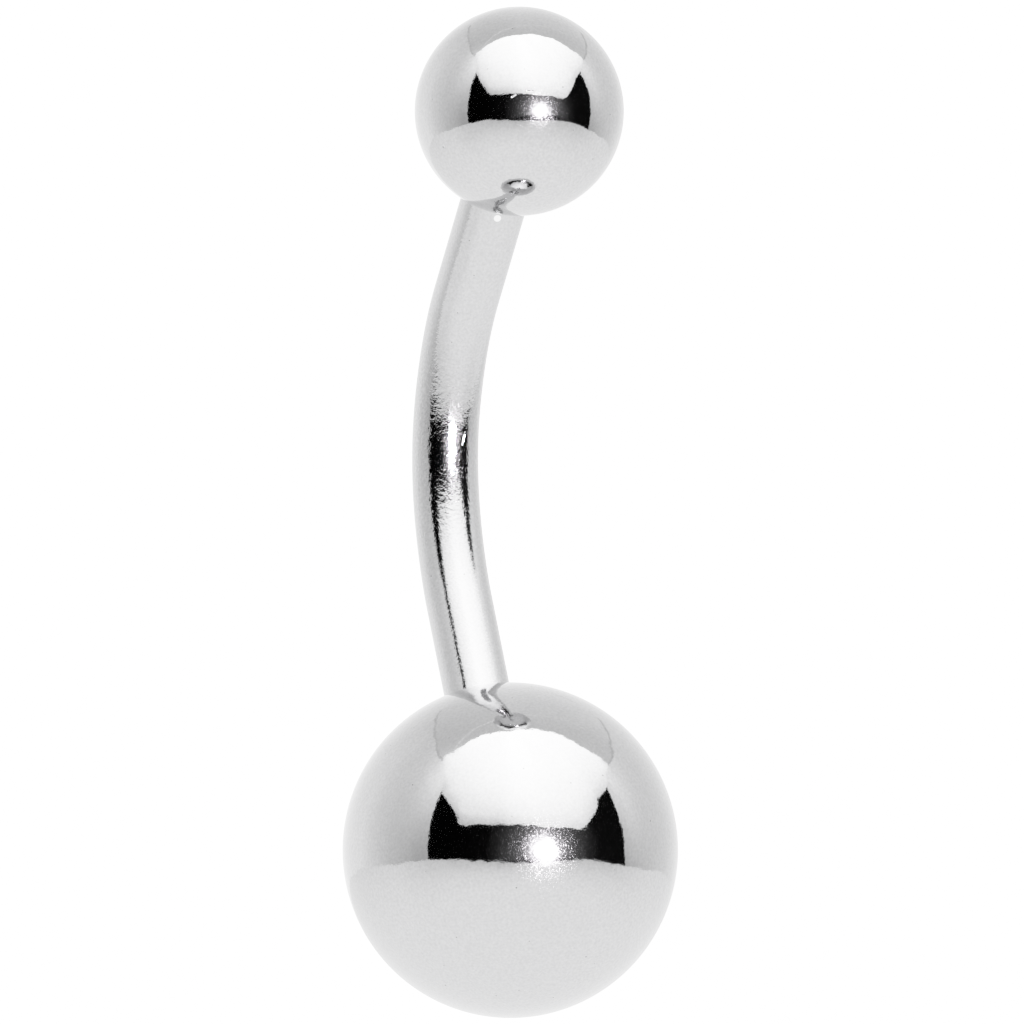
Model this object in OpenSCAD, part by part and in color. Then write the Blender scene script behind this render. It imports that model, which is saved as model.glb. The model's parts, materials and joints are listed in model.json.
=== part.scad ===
// Navel ring: a curved steel bar with a small ball screwed on its top end
// and a large ball on its lower end, lying on a flat surface.

/* [Wear] */
// Clear length between the two balls, where the skin sits
wear_length = 11.1; // [9:0.1:14]

/* [Bar] */
// Diameter of the bar
bar_d = 1.6; // [1.2:0.1:2]
// Radius of the bend, to the middle of the bar
bend_radius = 7.6; // [6:0.1:9]
// Angle that the bar turns through
bend_angle = 57; // [45:1:70]

/* [Balls] */
// Diameter of the small ball at the top end
top_ball_d = 5; // [4:0.5:6]
// Diameter of the large ball at the lower end
lower_ball_d = 8; // [6:0.5:10]
// How deep the bar's full diameter seats in each ball
seat_depth = 0.12; // [0.05:0.01:0.3]
// Radial clearance of the bar in its seat
seat_clearance = 0.02; // [0.01:0.01:0.05]

/* [Thread] */
// Length of the threaded stud at each end of the bar
stud_length = 2.6; // [1.5:0.1:3]
// Step from the bar's surface down to the thread's crest
shoulder_step = 0.05; // [0.03:0.01:0.1]
// Pitch of the thread
thread_pitch = 0.35; // [0.25:0.05:0.4]
// Plain neck between the shoulder and the first thread
thread_relief = 0.12; // [0.05:0.01:0.2]
// Bevel at the tip of the stud
tip_bevel = 0.15; // [0.05:0.01:0.25]
// Radial clearance between the stud's crest and its bore
thread_clearance = 0.02; // [0.01:0.01:0.05]
// Depth of the bore beyond the tip of the stud
bore_spare = 0.25; // [0.1:0.05:0.4]
// Gap left between the bar's shoulder and the floor of its seat
shoulder_gap = 0.02; // [0.01:0.01:0.04]

/* [Hidden] */
$fn = 96;

// Height of a thread as a share of its pitch, and the flats on its crest and at its root
thread_height_share = 0.61;
crest_share = 0.125;
root_share = 0.25;
// Angle by which each half of the bend runs past the middle
bend_lap = 2;
// Turn that brings each end of the ring into place
top = 0;
lower = 180;

bar_r = bar_d / 2;
top_r = top_ball_d / 2;
lower_r = lower_ball_d / 2;
seat_r = bar_r + seat_clearance;
half_bend = bend_angle / 2;

thread_r = bar_r - shoulder_step;
root_r = thread_r - thread_pitch * thread_height_share;
bore_r = thread_r + thread_clearance;
thread_flank = thread_pitch * (1 - crest_share - root_share) / 2;
thread_turns = floor((stud_length - thread_relief - tip_bevel) / thread_pitch);

// Distance from a ball's centre to the plane where the bar leaves its surface
function neck(ball_r) = sqrt(ball_r ^ 2 - bar_r ^ 2);
function ball_radius(end) = end == top ? top_r : lower_r;

// Straight end of the bar, from the bend to the ball, which leaves the wear length between the balls.
// The unequal balls turn the line through their centres out of square with the bend.
centre_distance = wear_length + top_r + lower_r;
centre_rise = (neck(lower_r) - neck(top_r)) * sin(half_bend);
bar_span = sqrt(centre_distance ^ 2 - centre_rise ^ 2) - (neck(top_r) + neck(lower_r)) * cos(half_bend);
straight = (bar_span / 2 - bend_radius * sin(half_bend)) / cos(half_bend);

// The upright ring lies in the XZ plane with the middle of its bend at the origin and its bow downwards.
// Place of the top ball's centre along and above the line through the two centres:
centre_line_tilt = asin(centre_rise / centre_distance);
top_reach = straight + neck(top_r);
top_x = bend_radius * sin(half_bend) + top_reach * cos(half_bend);
top_z = top_reach * sin(half_bend) - bend_radius * cos(half_bend);
top_along = top_x * cos(centre_line_tilt) - top_z * sin(centre_line_tilt);
top_above = top_x * sin(centre_line_tilt) + top_z * cos(centre_line_tilt);

// At rest both balls and the outside of the bend touch the surface. The share of the upward direction
// that stays in the plane of the bend solves a*m^2 + b*m + c = 0. A bow too shallow to reach hangs straight down.
slope = (lower_r - top_r) / centre_distance;
bend_drop = top_r - bar_r + slope * top_along;
rest_a = top_above ^ 2 - bend_radius ^ 2;
rest_b = 2 * bend_drop * bend_radius;
rest_c = -(slope * top_above) ^ 2 - bend_drop ^ 2;
in_plane = min(1, (-rest_b - sqrt(max(0, rest_b ^ 2 - 4 * rest_a * rest_c))) / (2 * rest_a));
lean = acos(sqrt((in_plane ^ 2 - slope ^ 2) / (1 - slope ^ 2)));
rest_tilt = asin(slope);

// Where the top ball's centre comes to lie, before the ring is set over the origin
rest_x = top_along * cos(rest_tilt) + top_above * cos(lean) * sin(rest_tilt);
rest_y = -top_above * sin(lean);
rest_z = top_above * cos(lean) * cos(rest_tilt) - top_along * sin(rest_tilt);
mid_x = rest_x + (top_r - lower_r - centre_distance * cos(rest_tilt)) / 2;

module at_rest() {
    translate([-mid_x, -rest_y, top_r - rest_z])
        rotate([0, rest_tilt, 0])
            rotate([lean, 0, 0])
                rotate([0, -centre_line_tilt, 0])
                    children();
}

// Moves its children to one end of the bend, with +Z running out along the bar
module at_end(end) {
    rotate([0, 0, end])
        rotate([0, -half_bend, 0])
            translate([0, 0, -bend_radius])
                rotate([0, 90, 0])
                    children();
}

// Half of the bend, which ends at z = 0 and laps over the middle so that the two halves are one
module half_bend_rod() {
    translate([-bend_radius, 0, 0])
        rotate([-90, 0, 0])
            rotate_extrude(angle = half_bend + bend_lap)
                translate([bend_radius, 0])
                    circle(r = bar_r);
}

// Threaded stud that stands on the shoulder at z = 0
module stud() {
    ridge = [[root_r, 0], [thread_r, thread_flank], [thread_r, thread_flank + thread_pitch * crest_share],
             [root_r, 2 * thread_flank + thread_pitch * crest_share]];
    ridges = [for (turn = [0:thread_turns - 1]) for (point = ridge)
              point + [0, thread_relief + turn * thread_pitch]];
    outline = concat(
        [[0, 0], [root_r, 0]],
        ridges,
        [[root_r, stud_length - tip_bevel], [root_r - tip_bevel, stud_length], [0, stud_length]]);
    rotate_extrude()
        polygon(outline);
}

module half_bar() {
    shoulder = straight + seat_depth - shoulder_gap;
    half_bend_rod();
    cylinder(h = shoulder, r = bar_r);
    translate([0, 0, shoulder])
        stud();
}

module bar() {
    color("silver")
        at_rest()
            for (end = [top, lower])
                at_end(end)
                    half_bar();
}

// Ball on one end of the bar, with a seat for the bar's shoulder and a blind bore for the stud
module end_ball(end) {
    r = ball_radius(end);
    seat_floor = straight + seat_depth;
    bore_floor = seat_floor + stud_length + bore_spare;
    at_end(end)
        difference() {
            translate([0, 0, straight + neck(r)])
                sphere(r = r);
            cylinder(h = seat_floor, r = seat_r);
            cylinder(h = bore_floor, r = bore_r);
        }
}

module top_ball() {
    color("silver")
        at_rest()
            end_ball(top);
}

module lower_ball() {
    color("silver")
        at_rest()
            end_ball(lower);
}

bar();
top_ball();
lower_ball();
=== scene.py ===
# %% [markdown]
# # A navel ring in mirror-polished steel
# The real ring is three turned pieces of surgical steel: a bar 1.6 mm thick that is bent after polishing,
# a 5 mm ball screwed on its top end and an 8 mm ball screwed on its lower end. A mirror has no colour of
# its own, so its picture is made of two things: an exact, smooth shape, and a studio that is worth
# reflecting. The lesson models the three pieces first, then their steel, and last the light tent that
# they mirror.

# %% Load the measured ring
import json
import math

import bpy
from mathutils import Matrix, Vector


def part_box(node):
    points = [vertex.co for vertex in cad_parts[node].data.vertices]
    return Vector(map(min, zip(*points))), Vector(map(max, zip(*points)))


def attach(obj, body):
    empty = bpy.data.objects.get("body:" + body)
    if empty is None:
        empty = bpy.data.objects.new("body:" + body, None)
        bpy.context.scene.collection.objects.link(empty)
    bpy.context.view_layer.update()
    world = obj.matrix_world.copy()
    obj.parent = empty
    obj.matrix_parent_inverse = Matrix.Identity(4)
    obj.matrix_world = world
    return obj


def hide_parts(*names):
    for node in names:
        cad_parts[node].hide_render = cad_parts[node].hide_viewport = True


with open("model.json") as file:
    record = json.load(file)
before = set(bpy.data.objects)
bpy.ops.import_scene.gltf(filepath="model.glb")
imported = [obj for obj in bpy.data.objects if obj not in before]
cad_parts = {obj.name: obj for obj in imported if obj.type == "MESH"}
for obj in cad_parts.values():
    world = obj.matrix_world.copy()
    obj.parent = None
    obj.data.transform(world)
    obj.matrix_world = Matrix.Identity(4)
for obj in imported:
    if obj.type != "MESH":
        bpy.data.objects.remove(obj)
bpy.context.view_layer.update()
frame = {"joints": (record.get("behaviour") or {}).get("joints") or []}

# %% [markdown]
# ## Sizes and directions
# Lengths are written in millimetres and turned into metres once. Where the balls lie, and which way the
# two ends of the bar point, is read from the measured ring, so that every new piece seats where the old
# one did. The bend is a circular arc between two straight ends, and three directions describe it: along
# the bar at the middle of the bend, outwards through the bow, and square to both.

# %% Sizes, in metres
MM = 0.001
BAR_R = 0.8 * MM
BEND_R = 7.6 * MM
BALL_R = {"top_ball": 2.5 * MM, "lower_ball": 4.0 * MM}

centre = {ball: sum(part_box(ball), Vector()) / 2 for ball in BALL_R}
outward = {joint["child"]: Vector(joint["axis"]).normalized() for joint in frame["joints"]}
neck = {ball: math.sqrt(radius ** 2 - BAR_R ** 2) for ball, radius in BALL_R.items()}

along = (outward["top_ball"] - outward["lower_ball"]).normalized()
bow = -(outward["top_ball"] + outward["lower_ball"]).normalized()
square = along.cross(bow)
bend = math.pi - outward["top_ball"].angle(outward["lower_ball"])
span = (centre["top_ball"] - centre["lower_ball"]).dot(along)
straight = (span - 2 * BEND_R * math.sin(bend / 2)) / math.cos(bend / 2) / 2 - sum(neck.values()) / 2
bend_end = {ball: centre[ball] - outward[ball] * (straight + neck[ball]) for ball in BALL_R}
bend_centre = sum(bend_end.values(), Vector()) / 2 - bow * BEND_R * math.cos(bend / 2)
print(f"the bar bends {math.degrees(bend):.1f} degrees, with {straight / MM:.2f} mm straight at each end")

# %% [markdown]
# ## Working in edit mode from code
# Every piece starts as a primitive that is added at its size and place, and is then shaped by the same
# operators that a hand would use. Operators act on whatever is selected, so each piece starts from an
# empty selection, and a rim is picked by how far along an axis its vertices lie, give or take a hair.

# %% Helpers for modelling
HAIR = 1e-7
SMOOTH_ANGLE = math.radians(30)


def deselect():
    if bpy.context.mode != "OBJECT":
        bpy.ops.object.mode_set(mode="OBJECT")
    bpy.ops.object.select_all(action="DESELECT")


def turned_to(direction):
    """Euler angles that turn +Z to a direction."""
    return direction.to_track_quat("Z", "Y").to_euler()


def select_between(piece, origin, axis, low, high):
    """Selects the vertices whose distance from origin along axis lies between low and high."""
    bpy.ops.mesh.select_all(action="DESELECT")
    bpy.ops.object.mode_set(mode="OBJECT")
    for vertex in piece.data.vertices:
        vertex.select = low <= (piece.matrix_world @ vertex.co - origin).dot(axis) <= high
    bpy.ops.object.mode_set(mode="EDIT")


def extrude(offset=(0, 0, 0)):
    bpy.ops.mesh.extrude_region_move(TRANSFORM_OT_translate={"value": offset})


def scale_about(point, factor):
    bpy.ops.transform.resize(value=(factor,) * 3, center_override=point)


def tidy_mesh():
    """Welds doubles and turns the faces outwards, in edit mode, then leaves it."""
    bpy.ops.mesh.select_all(action="SELECT")
    bpy.ops.mesh.remove_doubles(threshold=HAIR)
    bpy.ops.mesh.normals_make_consistent(inside=False)
    bpy.ops.object.mode_set(mode="OBJECT")
    bpy.ops.object.transform_apply(location=True, rotation=True, scale=True)


def finish_piece(piece, name, body):
    """Shades a piece, names it, hangs it on the body it moves with, and hides the measured part it
    replaces.
    """
    bpy.ops.object.shade_smooth_by_angle(angle=SMOOTH_ANGLE)
    piece.name = piece.data.name = name
    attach(piece, body)
    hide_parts(body)
    print(f"{name}: {len(piece.data.polygons)} faces")


# %% [markdown]
# ## A screw thread
# The balls screw on, so the bar has a threaded stud at each end and each ball has a tapped hole. One
# tooth of the thread is a small trapezoid, and the Screw modifier sweeps it along a helix. The same ridge
# is used twice: joined to the stud it is the thread, and a hair larger, cut out of a ball, it is the tap.
# An image of stripes would look the same from afar, but not when a ball is off.

# %% A helical ridge
PITCH = 0.35 * MM
STUD_LENGTH = 2.6 * MM
STUD_RELIEF = 0.12 * MM
TIP_BEVEL = 0.15 * MM
CREST_R = 0.75 * MM
THREAD_DEPTH = 0.61 * PITCH
ROOT_R = CREST_R - THREAD_DEPTH
TOOTH_BASE = 0.75 * PITCH
TOOTH_CREST = 0.125 * PITCH
TOOTH_SINK = 0.05 * MM
CLEARANCE = 0.02 * MM
THREAD_TURNS = int((STUD_LENGTH - STUD_RELIEF - TIP_BEVEL) / PITCH)
THREAD_STEPS = 48


def add_ridge(start, axis, turns, grow=0):
    """Adds a closed helical ridge that starts at a point of the axis and is grown by a clearance."""
    deselect()
    inner, crest = ROOT_R - TOOTH_SINK, CREST_R + grow
    bpy.ops.mesh.primitive_plane_add(size=1, location=((inner + crest) / 2, 0, TOOTH_BASE / 2),
                                     rotation=(math.pi / 2, 0, 0))
    ridge = bpy.context.object
    bpy.ops.object.mode_set(mode="EDIT")
    bpy.ops.transform.resize(value=(crest - inner, 1, TOOTH_BASE + 2 * grow))
    select_between(ridge, Vector((crest, 0, 0)), Vector((1, 0, 0)), -HAIR, HAIR)
    crest_share = (TOOTH_CREST + 2 * grow) / (TOOTH_BASE + 2 * grow)
    bpy.ops.transform.resize(value=(1, 1, crest_share), center_override=(crest, 0, TOOTH_BASE / 2))
    bpy.ops.object.mode_set(mode="OBJECT")
    bpy.ops.object.transform_apply(location=True, rotation=True, scale=True)
    screw = ridge.modifiers.new("helix", "SCREW")
    screw.screw_offset = PITCH
    screw.iterations = turns
    screw.steps = screw.render_steps = THREAD_STEPS
    bpy.ops.object.modifier_apply(modifier=screw.name)
    bpy.ops.object.mode_set(mode="EDIT")
    bpy.ops.mesh.select_all(action="SELECT")
    bpy.ops.mesh.fill_holes(sides=4)
    ridge.location = start
    ridge.rotation_euler = turned_to(axis)
    tidy_mesh()
    return ridge


# %% Join a piece and a tool
def combine(piece, tool, operation):
    """Joins a tool to a piece, or cuts it out, and removes the tool."""
    deselect()
    piece.select_set(True)
    bpy.context.view_layer.objects.active = piece
    boolean = piece.modifiers.new("combine", "BOOLEAN")
    boolean.operation = operation
    boolean.object = tool
    bpy.ops.object.modifier_apply(modifier=boolean.name)
    bpy.data.objects.remove(tool)


# %% [markdown]
# ## The balls
# A piercing ball is turned from rod, tapped, and tumbled until it is a mirror. A sphere primitive with
# its pole on the bar's axis gives rings that run round the hole, so one bisect cuts a clean round mouth.
# It is given a threshold of a hair, because by itself it spares all that lies within a tenth of a
# millimetre, which here is the whole cap. From there the rim is extruded inwards step by step, into the
# seat for the bar's shoulder and the bore, and its edge is rounded, because a real edge always is, and
# that is where it glints. A boolean could cut the mouth too, but it leaves long thin faces that a mirror
# would show, so it only cuts the thread, deep in the bore.

# %% Sizes of seat and bore
SEAT_DEPTH = 0.12 * MM
SEAT_R = 0.82 * MM
MOUTH_ROUND = 0.05 * MM
ROUND_SEGMENTS = 4
SHOULDER_GAP = 0.02 * MM
BORE_R = ROOT_R + CLEARANCE
BORE_SPARE = 0.25 * MM
DRILL_TIP = BORE_R / 2
BALL_SEGMENTS = 192


# %% Turn and tap the two balls
def make_ball(ball):
    """Cuts a mouth, a seat and a bore into a sphere, rounds the rim, and taps the hole."""
    deselect()
    inward = outward[ball]
    middle = centre[ball]
    bpy.ops.mesh.primitive_uv_sphere_add(
        segments=BALL_SEGMENTS, ring_count=BALL_SEGMENTS // 2, radius=BALL_R[ball],
        location=middle, rotation=turned_to(inward))
    piece = bpy.context.object
    mouth = middle - inward * math.sqrt(BALL_R[ball] ** 2 - SEAT_R ** 2)
    bpy.ops.object.mode_set(mode="EDIT")
    bpy.ops.mesh.bisect(plane_co=mouth, plane_no=inward, threshold=HAIR, clear_inner=True)
    select_between(piece, mouth, inward, -HAIR, HAIR)

    seat_floor = middle - inward * (neck[ball] - SEAT_DEPTH)
    bore_end = seat_floor + inward * (STUD_LENGTH + BORE_SPARE)
    extrude(seat_floor - mouth)
    extrude()
    scale_about(seat_floor, BORE_R / SEAT_R)
    extrude(bore_end - seat_floor)
    extrude(inward * DRILL_TIP)
    bpy.ops.mesh.merge(type="CENTER")
    select_between(piece, mouth, inward, -HAIR, HAIR)
    bpy.ops.mesh.bevel(offset=MOUTH_ROUND, segments=ROUND_SEGMENTS, affect="EDGES")
    tidy_mesh()

    # The tap runs a turn past the stud's thread at both ends.
    first_tooth = seat_floor + inward * (STUD_RELIEF - SHOULDER_GAP - PITCH)
    combine(piece, add_ridge(first_tooth, inward, THREAD_TURNS + 2, grow=CLEARANCE), "DIFFERENCE")
    finish_piece(piece, ball + "_polished", ball)
    return piece


balls = {ball: make_ball(ball) for ball in BALL_R}

# %% [markdown]
# ## The bar
# The bar is drawn as it is made: a round rod, bent in one plane. A circle at one end is extruded along
# the straight end, spun through the bend and extruded along the other straight end. Spin keeps every ring
# square to the bend, which a curve with a bevel does too, but spin leaves the rings where they are
# wanted: close together where the rod turns, and none where it is straight. No rod bends quite evenly,
# and a mirror shows it, so three rings are pushed in or out by less than a tenth of a millimetre, and
# proportional editing takes their neighbours along. Each end then steps down to its stud.

# %% Sizes of the bar
SHOULDER_CHAMFER = 0.03 * MM
BAR_SEGMENTS = 96
BEND_STEPS = 72
# A little over half the way from ring to ring, so that a ring is always found.
ONE_RING = 0.51
# Each nudge is a place along the bend from its middle, a push outwards, and how far that reaches.
BEND_NUDGES = [
    (-2.6 * MM, -0.08 * MM, 3.2 * MM),
    (2.2 * MM, 0.03 * MM, 3.0 * MM),
    (3.75 * MM, 0.05 * MM, 2.2 * MM),
]
shoulder_away = straight + SEAT_DEPTH - SHOULDER_GAP
shoulder = {ball: bend_end[ball] + outward[ball] * shoulder_away for ball in BALL_R}


# %% Turn the studs
def turn_stud(piece, ball):
    """Turns one end of the rod down to a stud: a chamfered shoulder, the stud's core and a bevelled tip."""
    outwards = outward[ball]
    foot = shoulder[ball]
    tip = foot + outwards * STUD_LENGTH
    select_between(piece, foot - outwards * SHOULDER_CHAMFER, outwards, -HAIR, HAIR)
    extrude(outwards * SHOULDER_CHAMFER)
    scale_about(foot, 1 - SHOULDER_CHAMFER / BAR_R)
    extrude()
    scale_about(foot, ROOT_R / (BAR_R - SHOULDER_CHAMFER))
    extrude(outwards * (STUD_LENGTH - TIP_BEVEL))
    extrude(outwards * TIP_BEVEL)
    scale_about(tip, 1 - TIP_BEVEL / ROOT_R)


# %% Bend the bar
def bend_frame(turn):
    """The directions out of the bend and along it, at a turn from its middle."""
    radial = bow * math.cos(turn) + along * math.sin(turn)
    tangent = along * math.cos(turn) - bow * math.sin(turn)
    return radial, tangent


def nudge_bend(piece, place, push, reach):
    """Pushes the ring at a place along the bend outwards, and the rings near it by less and less."""
    radial, tangent = bend_frame(place / BEND_R)
    nearest = ONE_RING * BEND_R * bend / BEND_STEPS
    select_between(piece, bend_centre + radial * BEND_R, tangent, -nearest, nearest)
    bpy.ops.transform.translate(value=radial * push, use_proportional_edit=True,
                                proportional_edit_falloff="SMOOTH", proportional_size=reach)


# %% Make the bar
def make_bar():
    """Bends a rod, nudges it where the real one strays, and turns and threads a stud at each end."""
    deselect()
    rod_end = {ball: shoulder[ball] - outward[ball] * SHOULDER_CHAMFER for ball in BALL_R}
    bpy.ops.mesh.primitive_circle_add(
        vertices=BAR_SEGMENTS, radius=BAR_R, fill_type="NGON", location=rod_end["lower_ball"],
        rotation=turned_to(outward["lower_ball"]))
    piece = bpy.context.object
    bpy.ops.object.mode_set(mode="EDIT")
    bpy.ops.mesh.select_all(action="SELECT")
    extrude(bend_end["lower_ball"] - rod_end["lower_ball"])
    bpy.ops.mesh.spin(steps=BEND_STEPS, angle=bend, center=bend_centre, axis=square)
    extrude(rod_end["top_ball"] - bend_end["top_ball"])
    for place, push, reach in BEND_NUDGES:
        nudge_bend(piece, place, push, reach)
    for ball in BALL_R:
        turn_stud(piece, ball)
    tidy_mesh()
    for ball in BALL_R:
        first_tooth = shoulder[ball] + outward[ball] * STUD_RELIEF
        combine(piece, add_ridge(first_tooth, outward[ball], THREAD_TURNS), "UNION")
    finish_piece(piece, "bar_polished", "bar")
    return piece


bar = make_bar()

# %% [markdown]
# ## A place on the bar for its marks
# Bending and drawing leave marks that run round the bar, so its finish has to follow the bend. Each
# vertex keeps where it would lie if the bar were straight again: across the bar in x and y, and along it
# in z. A UV map could do this too, but it would have a seam down the bar, and this has none.

# %% Straighten the bar in an attribute
def straightened(point):
    """Where a point of the bar would lie if the bar were straight."""
    offset = point - bend_centre
    turn = math.atan2(offset.dot(along), offset.dot(bow))
    turn = max(-bend / 2, min(bend / 2, turn))
    radial, tangent = bend_frame(turn)
    across = offset.dot(radial) - BEND_R
    return Vector((across, offset.dot(square), BEND_R * turn + offset.dot(tangent)))


places = bar.data.attributes.new("straightened", "FLOAT_VECTOR", "POINT")
for vertex in bar.data.vertices:
    places.data[vertex.index].vector = straightened(vertex.co)
heights = [place.vector.z for place in places.data]
print(f"straightened, the bar and its studs are {(max(heights) - min(heights)) / MM:.1f} mm long")

# %% [markdown]
# ## Steel
# Polished steel gives back about six tenths of the light. What makes it look like metal and not like
# chrome paint is finer still. Tumbling leaves the surface slightly wavy, like orange peel, so that the
# edges of every reflection wander, and bending has wrinkled the middle of the bar, where the reflections
# break up. Worn facets glint round a lamp, which the coat layer stands for: it is rough, weak and patchy,
# and on the bar its facets run lengthwise, as it was drawn. A texture drawn in an image could do all this
# for one view, but noise on the steel itself holds from every side and at any size. Each helper adds a
# node or a few, and gives back the output that the next one reads.

# %% Node helpers: adding a node
def new_material(name):
    material = bpy.data.materials.new(name)
    material.use_nodes = True
    return material


def plug_in(material, node, inputs):
    """Links inputs of a node, by name or number, to other nodes' outputs, or sets them to constants."""
    for name, value in inputs.items():
        if isinstance(value, bpy.types.NodeSocket):
            material.node_tree.links.new(value, node.inputs[name])
        else:
            node.inputs[name].default_value = value


def add_node(material, kind, inputs, **settings):
    """Adds a node, chooses its settings, and plugs in its inputs."""
    node = material.node_tree.nodes.new("ShaderNode" + kind)
    for name, value in settings.items():
        setattr(node, name, value)
    plug_in(material, node, inputs)
    return node


# %% Node helpers: noise, ranges and colours
def noise(material, vector, scale, detail=2.0, stretch=(1, 1, 1), move=0.0):
    """Noise of so many waves a metre on a vector, which may be stretched along its axes."""
    mapping = add_node(material, "Mapping", {"Vector": vector, "Scale": stretch, "Location": (move,) * 3})
    inputs = {"Vector": mapping.outputs["Vector"], "Scale": scale, "Detail": detail}
    return add_node(material, "TexNoise", inputs).outputs["Fac"]


def remap(material, value, low, high, to_low, to_high, interpolation="LINEAR"):
    """Stretches a value from one range to another, and stops at the ends of both."""
    inputs = {"Value": value, "From Min": low, "From Max": high, "To Min": to_low, "To Max": to_high}
    return add_node(material, "MapRange", inputs, interpolation_type=interpolation).outputs["Result"]


def mix_colours(material, share, colour_a, colour_b):
    """Mixes two colours, each a constant or another node's output."""
    inputs = {"Factor": share, "A": colour_a, "B": colour_b}
    return add_node(material, "Mix", inputs, data_type="RGBA").outputs["Result"]


# %% Node helpers: specks, marks and bump
def specks(material, vector, scale, size):
    """Sparse round specks, 1 inside, where the surface passes close to a point of a Voronoi pattern."""
    voronoi = add_node(material, "TexVoronoi", {"Vector": vector, "Scale": scale})
    return remap(material, voronoi.outputs["Distance"], size * scale / 2, size * scale, 1, 0)


def vector_math(material, operation, inputs, output="Vector"):
    """Adds a vector operation, and gives back one of its outputs."""
    return add_node(material, "VectorMath", inputs, operation=operation).outputs[output]


def mark(material, vector, start, end, reach):
    """A straight mark between two points: 1 on its line, falling smoothly to 0 at its reach."""
    line = end - start
    offset = vector_math(material, "SUBTRACT", {0: vector, 1: start})
    share = vector_math(material, "DOT_PRODUCT", {0: offset, 1: line / line.length_squared}, "Value")
    share = remap(material, share, 0, 1, 0, 1)
    nearest = vector_math(material, "SCALE", {0: line, "Scale": share})
    away = vector_math(material, "DISTANCE", {0: offset, 1: nearest}, "Value")
    return remap(material, away, 0, reach, 1, 0, "SMOOTHSTEP")


def bump(material, height, distance, below=None):
    """A bump from a height between 0 and 1, where 1 is a distance in metres, on top of the one below."""
    inputs = {"Height": height, "Strength": 1, "Distance": distance}
    if below:
        inputs["Normal"] = below
    return add_node(material, "Bump", inputs).outputs["Normal"]


# %% [markdown]
# ## Colour and sheen of the steel
# The colour is almost even: a fine mottle, small dark specks that handling has left, and on the bar one
# painted glint: a small white dot painted into the steel's colour, which stands in for a glint of the lamp.
# The mirror itself blurs by a few hundredths, a little more in some clouds than in others. Scales are in
# waves a metre, so that 15000 is a grain of a fifteenth of a millimetre.

# %% Colours and scales of the steel
MOTTLE_SCALE = 15000
STEEL_DULL = (0.57, 0.57, 0.575, 1)
STEEL_BRIGHT = (0.64, 0.64, 0.645, 1)
SPECK_SCALE = 2300
SPECK_R = 0.022 * MM
SPECK = (0.28, 0.28, 0.28, 1)
# A painted glint: a small white dot in the bar's colour that stands in for a glint of the lamp.
PAINTED_GLINT_R = 0.13 * MM
PAINTED_GLINT = (1, 1, 1, 1)
PAINTED_GLINT_EDGE = (0.2, 0.4)
CLOUD_SCALE = 400
BLUR = (0.025, 0.05)
MOST_NOISE = (0.3, 0.7)
BRIGHTER_NOISE = (0.4, 0.75)
GRAIN_SCALE = 22000


# %% Colour, blur and haze
def steel_colour(material, place, painted_glint):
    """A fine mottle, dark specks, and one painted glint, a white dot, if a place for it is given."""
    mottle = remap(material, noise(material, place, MOTTLE_SCALE, detail=3), *MOST_NOISE, 0, 1)
    colour = mix_colours(material, mottle, STEEL_DULL, STEEL_BRIGHT)
    colour = mix_colours(material, specks(material, place, SPECK_SCALE, SPECK_R), colour, SPECK)
    # Painted glint: inside a small round dot the colour turns white, in place of a glint of the lamp.
    if painted_glint:
        inside = remap(material, mark(material, place, *painted_glint, PAINTED_GLINT_R), *PAINTED_GLINT_EDGE, 0, 1)
        colour = mix_colours(material, inside, colour, PAINTED_GLINT)
    return colour


def steel_blur(material, place):
    clouds = noise(material, place, CLOUD_SCALE, detail=4)
    return remap(material, clouds, *MOST_NOISE, *BLUR)


def steel_haze(material, place, haze):
    grain = noise(material, place, GRAIN_SCALE, detail=1)
    return remap(material, grain, *BRIGHTER_NOISE, *haze)


# %% [markdown]
# ## Relief of the steel
# What bends the reflections is only microns deep, far too fine for a mesh, so it is bump: orange peel
# first, the wrinkles of the bend over it, which fade towards the bar's straight ends, then the marks and
# the finest pits. The coat adds its facets on top, so that they glint but leave the sharp reflection
# alone.

# %% Sizes of the relief
MICRON = 1e-6
PEEL_SCALE = 2600
PEEL_DEPTH = 4.4 * MICRON
RIPPLE_SCALE = 8500
RIPPLE_STRETCH = (1.3, 1.3, 1)
RIPPLE_MIDDLE = 1.7 * MM
RIPPLE_END = 3.2 * MM
RIPPLE_REST = 0.1
FACET_SCALE = 46000
PITS_MOVE = 0.3
FACETS_MOVE = 0.6


# %% Relief, layer by layer
def bend_ripples(material, place):
    """Noise that is strong in the middle of the bend and weak towards the ends of the bar."""
    height = add_node(material, "SeparateXYZ", {"Vector": place}).outputs["Z"]
    from_middle = add_node(material, "Math", {0: height}, operation="ABSOLUTE").outputs["Value"]
    strength = remap(material, from_middle, RIPPLE_MIDDLE, RIPPLE_END, 1, RIPPLE_REST, "SMOOTHSTEP")
    waves = noise(material, place, RIPPLE_SCALE, stretch=RIPPLE_STRETCH)
    return add_node(material, "Math", {0: waves, 1: strength}, operation="MULTIPLY").outputs["Value"]


def steel_relief(material, place, finish, marks):
    """Orange peel, ripples, marks and pits, each on top of the one before."""
    normal = bump(material, noise(material, place, PEEL_SCALE, detail=1), PEEL_DEPTH)
    if finish["ripple"]:
        normal = bump(material, bend_ripples(material, place), finish["ripple"] * MICRON, below=normal)
    for start, end, reach, depth in marks:
        dent = mark(material, place, start, end, reach * MM)
        normal = bump(material, dent, -depth * MM, below=normal)
    pits = noise(material, place, GRAIN_SCALE, move=PITS_MOVE)
    return bump(material, pits, finish["grain"] * MICRON, below=normal)


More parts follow.
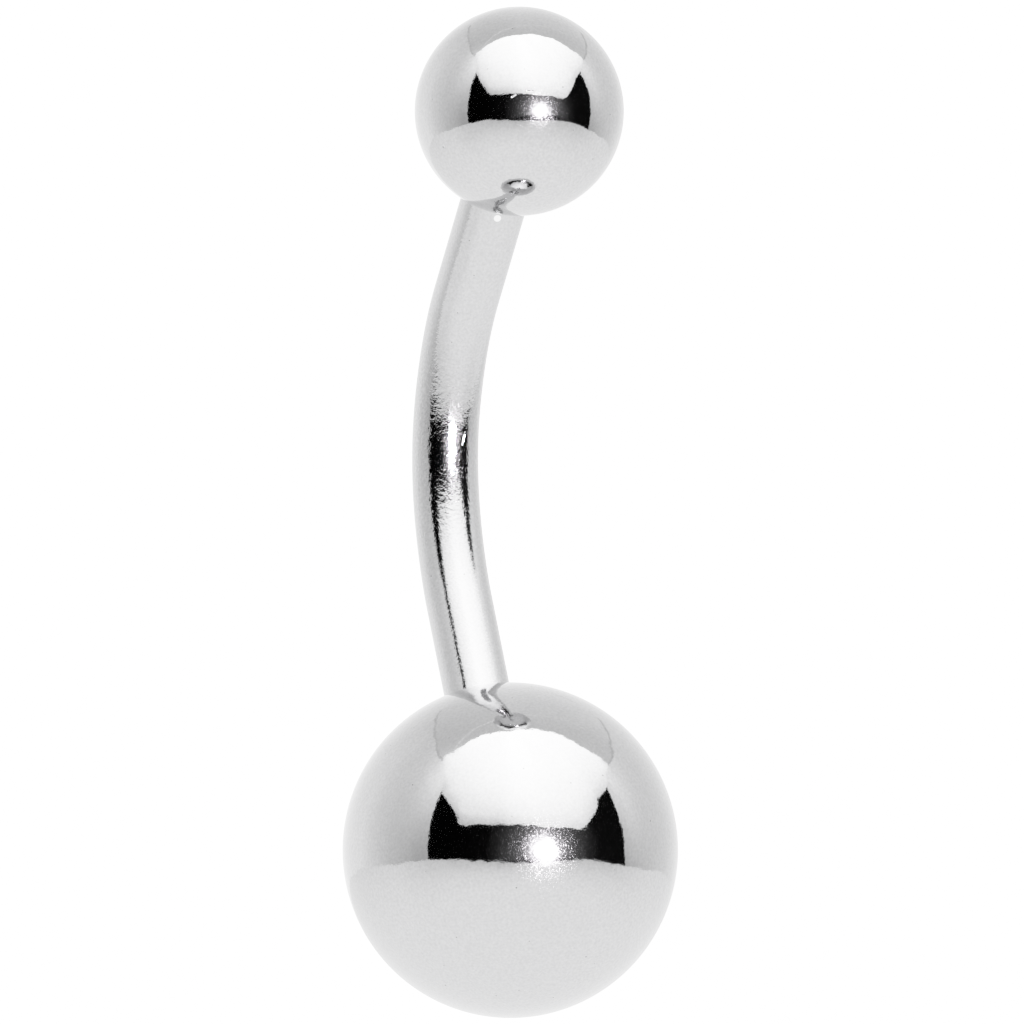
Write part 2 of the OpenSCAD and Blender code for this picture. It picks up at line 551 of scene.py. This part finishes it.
def facet_relief(material, place, finish, normal):
    """The relief of the coat: the steel's own, and the facets on it."""
    facets = noise(material, place, FACET_SCALE, detail=1, stretch=finish["lay"], move=FACETS_MOVE)
    return bump(material, facets, finish["facets"] * MICRON, below=normal)


# %% [markdown]
# ## Two finishes
# The balls and the bar share one steel and differ in its finish. The haze is how much of the coat shows,
# from its thin to its thick patches, and the lay stretches its facets: 0.35 makes them three times as
# long as they are wide. Depths are in microns.

# %% Two finishes
BALL_FINISH = {"haze": (0.01, 0.125), "roughness": 0.19, "facets": 4.8, "lay": (1, 1, 1),
               "grain": 0.5, "ripple": 0}
BAR_FINISH = {"haze": (0.03, 0.19), "roughness": 0.2, "facets": 9, "lay": (1, 1, 0.35),
              "grain": 3, "ripple": 8}


# %% Steel for a piece
def polished_steel(name, finish, marks, painted_glint=None, attribute=None):
    """Steel that follows the piece's own coordinates, or an attribute of the piece if one is named."""
    material = new_material(name)
    if attribute:
        place = add_node(material, "Attribute", {}, attribute_name=attribute).outputs["Vector"]
    else:
        place = add_node(material, "TexCoord", {}).outputs["Object"]
    normal = steel_relief(material, place, finish, marks)
    plug_in(material, material.node_tree.nodes["Principled BSDF"], {
        "Metallic": 1,
        "Base Color": steel_colour(material, place, painted_glint),
        "Roughness": steel_blur(material, place),
        "Normal": normal,
        "Coat Weight": steel_haze(material, place, finish["haze"]),
        "Coat Roughness": finish["roughness"],
        "Coat Normal": facet_relief(material, place, finish, normal),
    })
    return material


# %% [markdown]
# ## Nicks and scratches
# A mark is a shallow groove from one point to another. On the bar a point is an angle round it, from its
# outer side, and a place along it from the middle of the bend; on a ball it is an azimuth and a height,
# as on a globe. Each row holds the two points of a mark, then how far it reaches to each side, and its
# depth. Degrees and millimetres are written here as they were read off the picture.

# %% Nicks and scratches
# Where the painted glint lies on the bar, a white dot in place of a glint of the lamp; the rows below are
# grooves.
BAR_PAINTED_GLINT = (163.5, 6.38, 163.5, 6.37)
BAR_MARKS = [
    (188.5, 0.45, 183.5, 0.12, 0.03, 0.008),
    (107, -4.65, 115, -4.62, 0.02, 0.005),
    (115, -4.62, 131, -4.65, 0.02, 0.005),
    (108.5, -2.14, 108.5, -2.21, 0.03, 0.012),
    (189, 3.0, 189.5, 2.83, 0.02, 0.004),
]
BALL_MARKS = [
    ("top_ball", -62.5, 68.6, -61.6, 66.1, 0.03, 0.008),
    ("top_ball", -64, 60, -66.3, 56.9, 0.02, 0.004),
    ("top_ball", 125, 58.8, 125, 58.6, 0.05, 0.02),
    ("lower_ball", 201, 32.2, 201, 32, 0.04, 0.02),
]


# %% Put the marks and the steel on the pieces
def on_bar(angle, place):
    """A point of the straightened bar's surface."""
    turn = math.radians(angle)
    return Vector((BAR_R * math.cos(turn), BAR_R * math.sin(turn), place * MM))


def on_ball(ball, azimuth, height):
    """A point of a ball's surface."""
    a, h = math.radians(azimuth), math.radians(height)
    direction = Vector((math.cos(a) * math.cos(h), math.sin(a) * math.cos(h), math.sin(h)))
    return centre[ball] + direction * BALL_R[ball]


bar_marks = [(on_bar(angle, place), on_bar(end_angle, end_place), reach, depth)
             for angle, place, end_angle, end_place, reach, depth in BAR_MARKS]
# The two ends of the painted glint, a white dot in the bar's colour.
bar_painted_glint = (on_bar(*BAR_PAINTED_GLINT[:2]), on_bar(*BAR_PAINTED_GLINT[2:]))
ball_marks = [(on_ball(ball, azimuth, height), on_ball(ball, end_azimuth, end_height), reach, depth)
              for ball, azimuth, height, end_azimuth, end_height, reach, depth in BALL_MARKS]
ball_steel = polished_steel("ball_steel_polished", BALL_FINISH, ball_marks)
bar_steel = polished_steel("bar_steel_polished", BAR_FINISH, bar_marks, bar_painted_glint, "straightened")
for piece, steel in ((bar, bar_steel), (balls["top_ball"], ball_steel), (balls["lower_ball"], ball_steel)):
    piece.data.materials.clear()
    piece.data.materials.append(steel)
print(f"{len(bar_marks)} marks on the bar and {len(ball_marks)} on the balls")

# %% [markdown]
# ## Camera
# The photograph looks down on the lying ring with a long lens, from the side that the bow hollows
# towards, and is turned so that the ring stands upright in the picture.

# %% Camera
VIEW_AZIMUTH = math.radians(8.1)
VIEW_ELEVATION = math.radians(66.7)
VIEW_ROLL = math.radians(-98.66)
VIEW_TARGET = Vector((0.003, 0.060, 3.321)) * MM
VIEW_DISTANCE = 400 * MM
FIELD_WIDTH = 24.38 * MM
SENSOR_WIDTH = 36

backwards = Vector((math.sin(VIEW_AZIMUTH) * math.cos(VIEW_ELEVATION),
                    -math.cos(VIEW_AZIMUTH) * math.cos(VIEW_ELEVATION), math.sin(VIEW_ELEVATION)))
view_turn = backwards.to_track_quat("Z", "Y").to_matrix() @ Matrix.Rotation(VIEW_ROLL, 3, "Z")
deselect()
bpy.ops.object.camera_add(location=VIEW_TARGET + backwards * VIEW_DISTANCE, rotation=view_turn.to_euler())
camera = bpy.context.object
camera.data.sensor_width = SENSOR_WIDTH
camera.data.lens = SENSOR_WIDTH * VIEW_DISTANCE / FIELD_WIDTH
camera.data.clip_start = 10 * MM
bpy.context.scene.camera = camera
print(f"the camera's lens is {camera.data.lens:.0f} mm")

# %% [markdown]
# ## The light tent
# Everything dark or bright on a mirror is a picture of the room. The ring was lit in a small white tent:
# a table, walls and a roof, and an open front through which it sees a dark room, a large softbox that
# hangs above the camera, and one small bare lamp. A plain sky would give dead grey balls. Real lamps on
# real cloth would need many samples, so every sheet of the tent glows by itself, a little brighter or
# dimmer from edge to edge, and is seen in reflections only. Directions are taken from the lower ball, in
# degrees to the right of the camera and above it, and a reach is how far away a sheet hangs, in metres.

# %% Sheets that are seen in reflections only
def only_reflected(thing):
    for ray in ("camera", "diffuse", "shadow", "transmission", "volume_scatter"):
        setattr(thing, "visible_" + ray, False)


def tent_point(azimuth, elevation, reach):
    """The point at a reach from the lower ball, in a direction counted from the camera's."""
    a, e = math.radians(azimuth), math.radians(elevation)
    direction = Vector((math.sin(a) * math.cos(e), math.sin(e), math.cos(a) * math.cos(e)))
    return centre["lower_ball"] + view_turn @ direction * reach


# %% Cloth that glows
def glowing_cloth():
    """A material that gives off the glow that each vertex of a sheet holds."""
    material = new_material("glowing_cloth")
    material.node_tree.nodes.clear()
    glow = add_node(material, "Attribute", {}, attribute_name="glow").outputs["Fac"]
    light = add_node(material, "Emission", {"Strength": glow}).outputs["Emission"]
    add_node(material, "OutputMaterial", {"Surface": light})
    material.cycles.emission_sampling = "NONE"
    return material


CLOTH = glowing_cloth()


def add_sheet(name, columns):
    """Draws a sheet from columns of (point, glow), each as long as the next."""
    rows = len(columns[0])
    points = [point for column in columns for point, glow in column]
    corners = [(c * rows + r, c * rows + r + 1) for c in range(len(columns) - 1) for r in range(rows - 1)]
    faces = [(a, b, b + rows, a + rows) for a, b in corners]
    mesh = bpy.data.meshes.new(name)
    mesh.from_pydata(points, [], faces)
    glows = mesh.attributes.new("glow", "FLOAT", "POINT")
    glows.data.foreach_set("value", [glow for column in columns for point, glow in column])
    sheet = bpy.data.objects.new(name, mesh)
    bpy.context.scene.collection.objects.link(sheet)
    mesh.materials.append(CLOTH)
    only_reflected(sheet)
    print(f"{name}: {len(faces)} faces")


# %% Curtains from rows of directions
def fill_in(table, step=5):
    """Adds rows between the rows of a table, so that its first column grows by no more than a step."""
    filled = [table[0]]
    for row, after in zip(table, table[1:]):
        parts = math.ceil(abs(after[0] - row[0]) / step)
        for part in range(1, parts + 1):
            filled.append(tuple(a + (b - a) * part / parts for a, b in zip(row, after)))
    return filled


def add_curtain(name, edges, reach, rows=8, curve=1):
    """Hangs a sheet between two edges, from rows of (azimuth, low, high, low glow, high glow)."""
    columns = []
    for azimuth, low, high, low_glow, high_glow in fill_in(edges):
        shares = [row / rows for row in range(rows + 1)]
        columns.append([(tent_point(azimuth, low + (high - low) * share, reach),
                         low_glow + (high_glow - low_glow) * share ** curve) for share in shares])
    add_sheet(name, columns)


# %% [markdown]
# ## Walls and roof
# The cloth is bright high up beside the softbox and low at the back, which faces it, and dim low along
# its front edges, which turn away from it. Each row gives a direction round the ring, the lower and the
# upper edge of the cloth there, and how brightly both edges glow. Where two sheets are sewn together a
# darker seam shows, and the roof has a lighter hem. One sheet bent to a dome could carry them all, but
# then its corners would be round.

# %% Left wall
WALL_REACH = 0.4
LEFT_WALL = [
    (-58.3, -25, 37, 0.52, 1.12),
    (-62, -25, 43, 0.5, 1.33),
    (-67, -25, 48.6, 0.52, 1.48),
    (-75, -25, 51, 0.64, 1.33),
    (-84, -25, 52.4, 0.74, 1.12),
    (-92, -25, 53.2, 0.81, 1.01),
    (-110, -25, 54, 1.01, 0.91),
    (-125, -25, 51.3, 1.18, 0.91),
    (-141, -25, 46.7, 1.2, 0.9),
    (-157, -25, 37.5, 1.25, 0.96),
    (-180, -25, 30, 1.3, 1.08),
]
add_curtain("left_wall", LEFT_WALL, WALL_REACH, curve=2)

# %% Right wall
RIGHT_WALL = [
    (84.8, -25, 32.5, 0.43, 1.09),
    (94, -25, 38.5, 0.5, 1.33),
    (100, -25, 39.6, 0.61, 1.25),
    (106, -25, 39.4, 0.72, 1.12),
    (115, -25, 39.2, 0.83, 1.02),
    (129, -25, 38.6, 0.96, 0.96),
    (144, -25, 35.6, 1.08, 0.98),
    (155, -25, 31.3, 1.15, 1.0),
    (168, -25, 30, 1.2, 1.02),
    (180, -25, 30, 1.3, 1.08),
]
add_curtain("right_wall", RIGHT_WALL, WALL_REACH)

# %% Roof
ROOF_LEFT = [
    (-81.4, 58.8, 59, 0.96, 0.96),
    (-83, 52.4, 67, 0.96, 0.88),
    (-85.4, 52.6, 74, 0.91, 0.86),
    (-92, 53.2, 80, 0.86, 0.83),
    (-98.7, 53.6, 84, 0.81, 0.83),
    (-110, 54, 87, 0.79, 0.83),
    (-125, 51.3, 90, 0.81, 0.83),
    (-141, 46.7, 90, 0.86, 0.83),
    (-157, 37.5, 90, 0.92, 0.82),
    (-180, 30, 90, 1.08, 0.84),
]
ROOF_RIGHT = [
    (103.2, 50, 51, 0.91, 0.91),
    (104.5, 44.5, 61, 0.91, 0.88),
    (105.6, 39.6, 66, 0.88, 0.86),
    (108.3, 39.4, 74.3, 0.86, 0.83),
    (114, 39.3, 80, 0.86, 0.83),
    (120, 39.1, 83.5, 0.86, 0.83),
    (129, 38.6, 87, 0.88, 0.83),
    (144, 35.6, 90, 0.96, 0.83),
    (155, 31.3, 90, 0.99, 0.83),
    (180, 30, 90, 1.08, 0.84),
]
add_curtain("roof_left", ROOF_LEFT, WALL_REACH)
add_curtain("roof_right", ROOF_RIGHT, WALL_REACH)

# %% Seams and hem
RIBBON_REACH = WALL_REACH * 0.98
SEAM_WIDTH = 1.0
SEAM_GLOW = 0.71
HEM_WIDTH = 1.2
HEM_GLOW = 1.01
LEFT_SEAM = [(-84, 52.4), (-92, 53.2), (-110, 54), (-125, 51.3), (-141, 46.7), (-157, 37.5)]
RIGHT_SEAM = [(105, 40), (115, 39.2), (129, 38.6), (144, 35.6), (155, 31.3)]
HEM = [(-80, 58.5), (-90, 64), (-105, 69.5), (-124, 74), (-147, 76), (-180, 75), (-203, 69.6), (-215, 63),
       (-222, 55.4), (-227, 50.4)]
for name, seam, width, glow in (("left_seam", LEFT_SEAM, SEAM_WIDTH, SEAM_GLOW),
                                ("right_seam", RIGHT_SEAM, SEAM_WIDTH, SEAM_GLOW),
                                ("roof_hem", HEM, HEM_WIDTH, HEM_GLOW)):
    ribbon = [(azimuth, low - width / 2, low + width / 2, glow, glow) for azimuth, low in seam]
    add_curtain(name, ribbon, RIBBON_REACH, rows=1)

# %% [markdown]
# ## The table
# The white table fills the lower half of every ball. It is a fan of narrow strips from a point under the
# ring to its edge, each row of the table giving a point of that edge: two angles, how far away it is, and
# its glow. The fade says how the glow of the middle passes into that of the edge: slowly at first, as on
# the real one. A square plane would have the wrong edge, which on a ball is the most visible line of all.

# %% The table
TABLE_EDGE = [
    (-180, -6.5, 0.12, 1.08),
    (-113, -6.7, 0.12, 1.06),
    (-84, -6.9, 0.12, 1.06),
    (-60, -5.4, 0.124, 0.88),
    (-38.5, -4.8, 0.18, 0.76),
    (-12.3, -6.3, 0.22, 0.74),
    (3.7, -7.4, 0.233, 0.74),
    (27.9, -6.5, 0.22, 0.76),
    (51.6, -5.0, 0.19, 0.79),
    (70.4, -6.5, 0.165, 0.83),
    (85.6, -8.2, 0.15, 0.96),
    (104, -8.3, 0.12, 1.09),
    (122, -7.3, 0.12, 1.1),
    (180, -6.5, 0.12, 1.08),
]
TABLE_DROP = 20 * MM
TABLE_GLOW = 1.22
TABLE_FADE = ((0, 0), (0.2, 0.06), (0.33, 0.25), (0.6, 0.65), (1, 1))

table_middle = centre["lower_ball"] - view_turn.col[1] * TABLE_DROP
table = [[(table_middle.lerp(tent_point(azimuth, elevation, reach), share),
           TABLE_GLOW + (edge_glow - TABLE_GLOW) * fade) for share, fade in TABLE_FADE]
         for azimuth, elevation, reach, edge_glow in fill_in(TABLE_EDGE)]
add_sheet("table", table)

# %% [markdown]
# ## Softbox, dark room and lamp
# The softbox is a curtain like the walls, but far brighter, above all high up. What shows between it and
# the table is the dark room. Only the bare lamp is a real light, because it is small and strong enough to
# glint, and it lights a patch of the room behind it. That patch is a sheet too, drawn as spokes round the
# lamp, so that the edge of the table cuts it off, which a halo made by a rougher steel would not show.

# %% Softbox
FAR_REACH = 0.8
SOFTBOX = [
    (-112, 70, 90, 1.60, 2.8),
    (-90, 58, 90, 1.40, 2.8),
    (-70, 46, 90, 1.25, 2.8),
    (-57.6, 36.9, 90, 1.00, 2.7),
    (-49.8, 31.5, 90, 0.95, 2.7),
    (-43.3, 26.5, 90, 0.85, 2.7),
    (-38.3, 21.1, 90, 0.78, 2.7),
    (-35.5, 18.2, 90, 0.75, 2.7),
    (-32, 17.2, 90, 0.75, 2.7),
    (-23.2, 18, 90, 0.85, 2.8),
    (-9, 18.8, 90, 1.00, 2.9),
    (5, 18.5, 90, 1.25, 3.2),
    (19, 16.9, 90, 1.35, 3.2),
    (31.5, 16.2, 90, 1.35, 3.0),
    (42.3, 14.4, 90, 1.25, 2.9),
    (50, 13.2, 90, 1.15, 2.85),
    (54, 14.1, 90, 1.10, 2.85),
    (58.6, 18, 90, 1.10, 2.9),
    (64.9, 23.3, 90, 1.10, 3.0),
    (73.4, 29.5, 90, 1.10, 3.0),
    (83.3, 32.5, 90, 1.15, 3.0),
    (100, 36, 90, 1.30, 3.0),
    (128, 60, 90, 1.60, 2.9),
]
add_curtain("softbox", SOFTBOX, FAR_REACH, curve=0.6)

# %% Dark room
DARK_ROOM = [
    (-64, -25, 45, 0.0003, 0.0005),
    (20, -25, 45, 0.001, 0.001),
    (92, -25, 45, 0.004, 0.004),
]
DARK_REACH = FAR_REACH * 1.1
add_curtain("dark_room", DARK_ROOM, DARK_REACH, rows=2)

# %% Lit patch behind the lamp
LAMP_AZIMUTH = 23.9
LAMP_ELEVATION = 0.9
# Degrees away from the lamp, and glow.
HALO = [(1, 0.65), (6, 0.65), (8, 0.45), (10, 0.35), (12, 0.25), (14, 0.19), (17, 0.13), (20, 0.09),
        (24, 0.065), (28, 0.04), (34, 0.015), (40, 0.002)]
HALO_REACH = FAR_REACH * 1.05
HALO_SPOKES = 36


def halo_spoke(turn):
    """A spoke of the halo: points at growing distances from the lamp, each with its glow."""
    right, up = math.cos(turn), math.sin(turn)
    return [(tent_point(LAMP_AZIMUTH + away * right, LAMP_ELEVATION + away * up, HALO_REACH), glow)
            for away, glow in HALO]


add_sheet("halo", [halo_spoke(math.tau * spoke / HALO_SPOKES) for spoke in range(HALO_SPOKES + 1)])

# %% Bare lamp
LAMP_REACH = FAR_REACH * 0.95
LAMP_R = 45 * MM
LAMP_POWER = 160
LAMP_COLOUR = (1, 0.955, 1.015)
bpy.ops.object.light_add(type="AREA", location=tent_point(LAMP_AZIMUTH, LAMP_ELEVATION, LAMP_REACH))
lamp = bpy.context.object
lamp.name = "bare_lamp"
lamp.data.shape = "DISK"
lamp.data.size = 2 * LAMP_R
lamp.data.energy = LAMP_POWER
lamp.data.color = LAMP_COLOUR
lamp.rotation_euler = turned_to(lamp.location)
only_reflected(lamp)
print(f"{lamp.name}: {2 * LAMP_R / MM:.0f} mm across, {LAMP_POWER} W")

# %% [markdown]
# ## Behind the tent
# From other sides the ring also mirrors what lies behind the sheets. A large pale shell closes every gap
# between them, because a black gap in a mirror reads as a hole.

# %% A shell round the tent
BACKING_GLOW = 0.86
BACKING_R = 1.2
bpy.ops.mesh.primitive_uv_sphere_add(segments=32, ring_count=16, radius=BACKING_R)
backing = bpy.context.object
backing.name = "backing"
backing_glow = backing.data.attributes.new("glow", "FLOAT", "POINT")
backing_glow.data.foreach_set("value", [BACKING_GLOW] * len(backing.data.vertices))
backing.data.materials.append(CLOTH)
only_reflected(backing)
print(f"{backing.name}: {len(backing.data.polygons)} faces")

# %% [markdown]
# ## Floor and daylight
# The photograph's ground is pure white, with hardly a shadow. White paper that glows by itself gives
# that, and still takes the faint contact shadow of the balls. The steel doesn't mirror it, because the
# table has its own sheet. Glossy rays are not blurred, since that would soften the edges on the steel.

# %% Floor and daylight
world = bpy.data.worlds.new("tent_white")
world.use_nodes = True
world.node_tree.nodes["Background"].inputs["Color"].default_value = (1, 1, 1, 1)
scene = bpy.context.scene
scene.world = world
scene.view_settings.view_transform = "Standard"
scene.cycles.blur_glossy = 0

FLOOR_SIZE = 3
PAPER = (0.8, 0.8, 0.8, 1)
PAPER_GLOW = 1.3
bpy.ops.mesh.primitive_plane_add(size=FLOOR_SIZE)
floor = bpy.context.object
floor.name = "floor"
paper = new_material("white_paper")
plug_in(paper, paper.node_tree.nodes["Principled BSDF"], {
    "Base Color": PAPER,
    "Roughness": 1,
    "Specular IOR Level": 0,
    "Emission Color": (1, 1, 1, 1),
    "Emission Strength": PAPER_GLOW,
})
floor.data.materials.append(paper)
floor.visible_glossy = False
print(f"{floor.name}: {FLOOR_SIZE} m of white paper each way")

# %% [markdown]
# ## The camera's response
# A camera rolls its highlights off: twice as much light as a pale grey does not come out twice as bright.
# The film curve does this here, so that the softbox keeps its shading and the lamp a soft edge. A
# ready-made film look would do it too, but it greys the whole picture.

# %% Roll the highlights off
FILM_WHITE = 2.0
FILM_CURVE = [(0.1, 0.1), (0.3, 0.3), (0.5, 0.5), (0.65, 0.64), (0.8, 0.755), (1.0, 0.86), (1.25, 0.94),
              (1.6, 0.985)]
scene.view_settings.use_curve_mapping = True
film = scene.view_settings.curve_mapping
film.white_level = (FILM_WHITE,) * 3
# The last curve holds for red, green and blue together.
common_curve = film.curves[-1]
for light, level in FILM_CURVE:
    common_curve.points.new(light / FILM_WHITE, level)
film.update()
print(f"the film curve has {len(common_curve.points)} points, up to {FILM_WHITE} times white")
